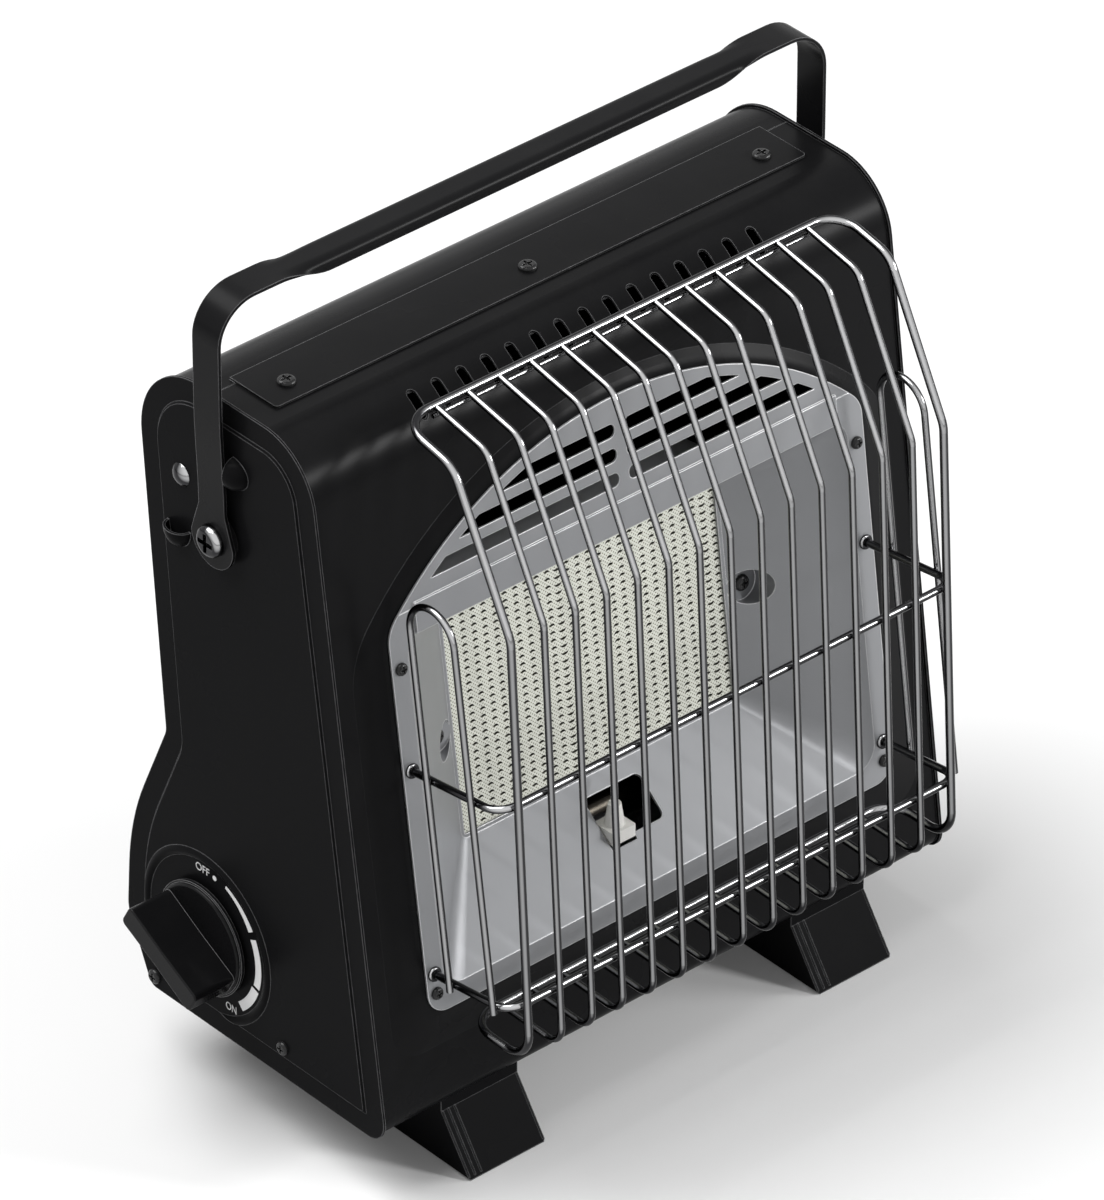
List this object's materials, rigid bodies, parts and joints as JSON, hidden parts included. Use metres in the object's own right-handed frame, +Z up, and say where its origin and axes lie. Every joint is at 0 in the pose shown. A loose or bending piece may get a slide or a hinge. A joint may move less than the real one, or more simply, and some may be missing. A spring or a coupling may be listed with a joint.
{
  "type": "portable gas heater",
  "caption": "Portable cartridge gas heater: ceramic burner in a tray reflector, wire guard, control knob, fold-down carrying strap and a drop-down rear door.",
  "frame": {"origin": "on the floor, under the middle of the whole object's box", "axes": "+X to the right seen from the front, +Y to the back, +Z up"},
  "size_m": [0.2834, 0.1708, 0.3245],
  "materials": {
    "shell_black": "satin black powder coat",
    "screw_black": "black oxide, slightly glossy",
    "reflector_grey": "satin",
    "ceramic": "fired ceramic, rough",
    "inner_steel": "zinc plated",
    "brass": "turned",
    "gasket": "woven glass fibre",
    "knob_black": "glossy",
    "plastic_black": "matte",
    "wire_chrome": "polished",
    "white_ceramic": "glazed",
    "magnet": "dark ferrite",
    "marking_white": "printed marks"
  },
  "bodies": {
    "body": {"front_shell": "shell_black", "rear_shell": "shell_black", "left_side_panel": "shell_black", "right_side_panel": "shell_black", "dial_marks": "marking_white", "base_pan": "shell_black", "foot_right": "shell_black", "foot_left": "shell_black", "foot_screws": "screw_black", "lap_screws": "screw_black", "side_screws": "screw_black", "reflector_tray": "reflector_grey", "louvre_hood": "reflector_grey", "reflector_screws": "screw_black", "plaque_left": "ceramic", "plaque_right": "ceramic", "burner_box": "inner_steel", "plaque_gasket": "gasket", "burner_screws": "screw_black", "venturi_tube": "brass", "jet_holder": "inner_steel", "gas_pipe": "brass", "regulator": "inner_steel", "piezo_igniter": "plastic_black", "ignition_wire": "plastic_black", "igniter_ceramic": "white_ceramic", "igniter_electrode": "inner_steel", "igniter_bracket": "inner_steel", "heat_shield": "inner_steel", "bay_partition": "inner_steel", "cartridge_cradle": "inner_steel", "door_pivot_screws": "screw_black", "door_magnet": "magnet", "guard_vertical_wires": "wire_chrome", "guard_frame_wire": "wire_chrome", "guard_top_wire": "wire_chrome", "guard_upper_bar": "wire_chrome", "guard_lower_bar": "wire_chrome", "guard_hoops": "wire_chrome", "bar_clips": "wire_chrome", "pivot_screws": "wire_chrome", "pivot_spacers": "screw_black", "panel_rivets": "wire_chrome"},
    "handle": {"handle_strap": "shell_black"},
    "knob": {"control_knob": "knob_black", "valve_spindle": "brass"},
    "door": {"cartridge_door": "shell_black"}
  },
  "joints": [
    {"name": "handle_fold", "type": "hinge", "parent": "body", "child": "handle", "pos_m": [0.0071, 0.03088, 0.2315], "axis": [-1, 0, 0], "range_deg": [0, 90]},
    {"name": "knob_turn", "type": "hinge", "parent": "body", "child": "knob", "pos_m": [-0.1209, 0.04258, 0.0638], "axis": [1, 0, 0], "range_deg": [-110, 21]},
    {"name": "door_swing", "type": "hinge", "parent": "body", "child": "door", "pos_m": [0.0071, 0.07182, 0.0302], "axis": [-1, 0, 0], "range_deg": [0, 100]}
  ]
}
